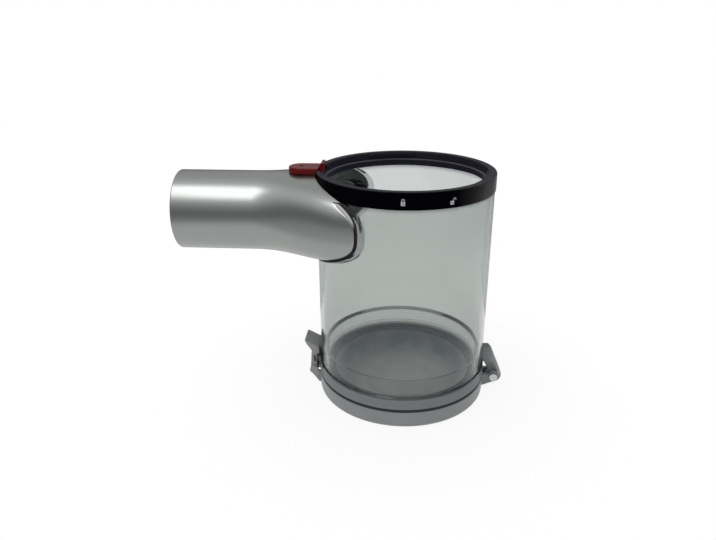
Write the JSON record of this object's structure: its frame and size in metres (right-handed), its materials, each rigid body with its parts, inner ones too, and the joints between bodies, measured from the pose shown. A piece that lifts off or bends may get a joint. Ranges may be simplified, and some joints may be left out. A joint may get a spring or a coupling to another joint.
{
  "type": "cyclone dust bin",
  "caption": "Clear cylindrical dust bin with a flared side inlet duct, a bayonet collar at its open top, a sprung release slider and a latched, hinged base lid.",
  "frame": {"origin": "centre of the base lid's flat underside", "axes": "+Z along the bin's axis, up to the open collar; -X along the inlet duct, away from the bin; the hinge is at +X"},
  "size_m": [0.2097, 0.1104, 0.1539],
  "materials": {
    "smoked_clear": "gloss",
    "black_gloss": "gloss",
    "silver_satin": "satin",
    "dark_rubber": "matte",
    "red_plastic": "satin",
    "grey_plastic": "satin",
    "spring_steel": "satin",
    "pin_steel": "satin"
  },
  "bodies": {
    "bin": {"bin_tube": "smoked_clear", "collar_ring": "black_gloss", "inlet_duct": "silver_satin", "neck_gasket": "dark_rubber", "hinge_pin": "pin_steel", "slider_spring": "spring_steel", "hinge_spring": "spring_steel"},
    "lid": {"base_lid": "grey_plastic", "lid_seal": "dark_rubber", "rim_seal": "dark_rubber", "latch_pin": "pin_steel", "latch_spring": "spring_steel"},
    "latch": {"latch_lever": "grey_plastic"},
    "slider": {"release_slider": "red_plastic"}
  },
  "joints": [
    {"name": "lid_hinge", "type": "hinge", "parent": "bin", "child": "lid", "pos_m": [0.0626, 0, 0.009], "axis": [0, -1, 0], "range_deg": [0, 95], "deforming": ["hinge_spring"]},
    {"name": "latch_swing", "type": "hinge", "parent": "lid", "child": "latch", "pos_m": [-0.0592, 0, 0.0114], "axis": [0, -1, 0], "range_deg": [0, 25], "stiffness_Nm_per_rad": 0.06, "deforming": ["latch_spring"]},
    {"name": "slider_slide", "type": "slide", "parent": "bin", "child": "slider", "axis": [-1, 0, 0], "range_m": [0, 0.004], "stiffness_N_per_m": 400, "deforming": ["slider_spring"]}
  ]
}
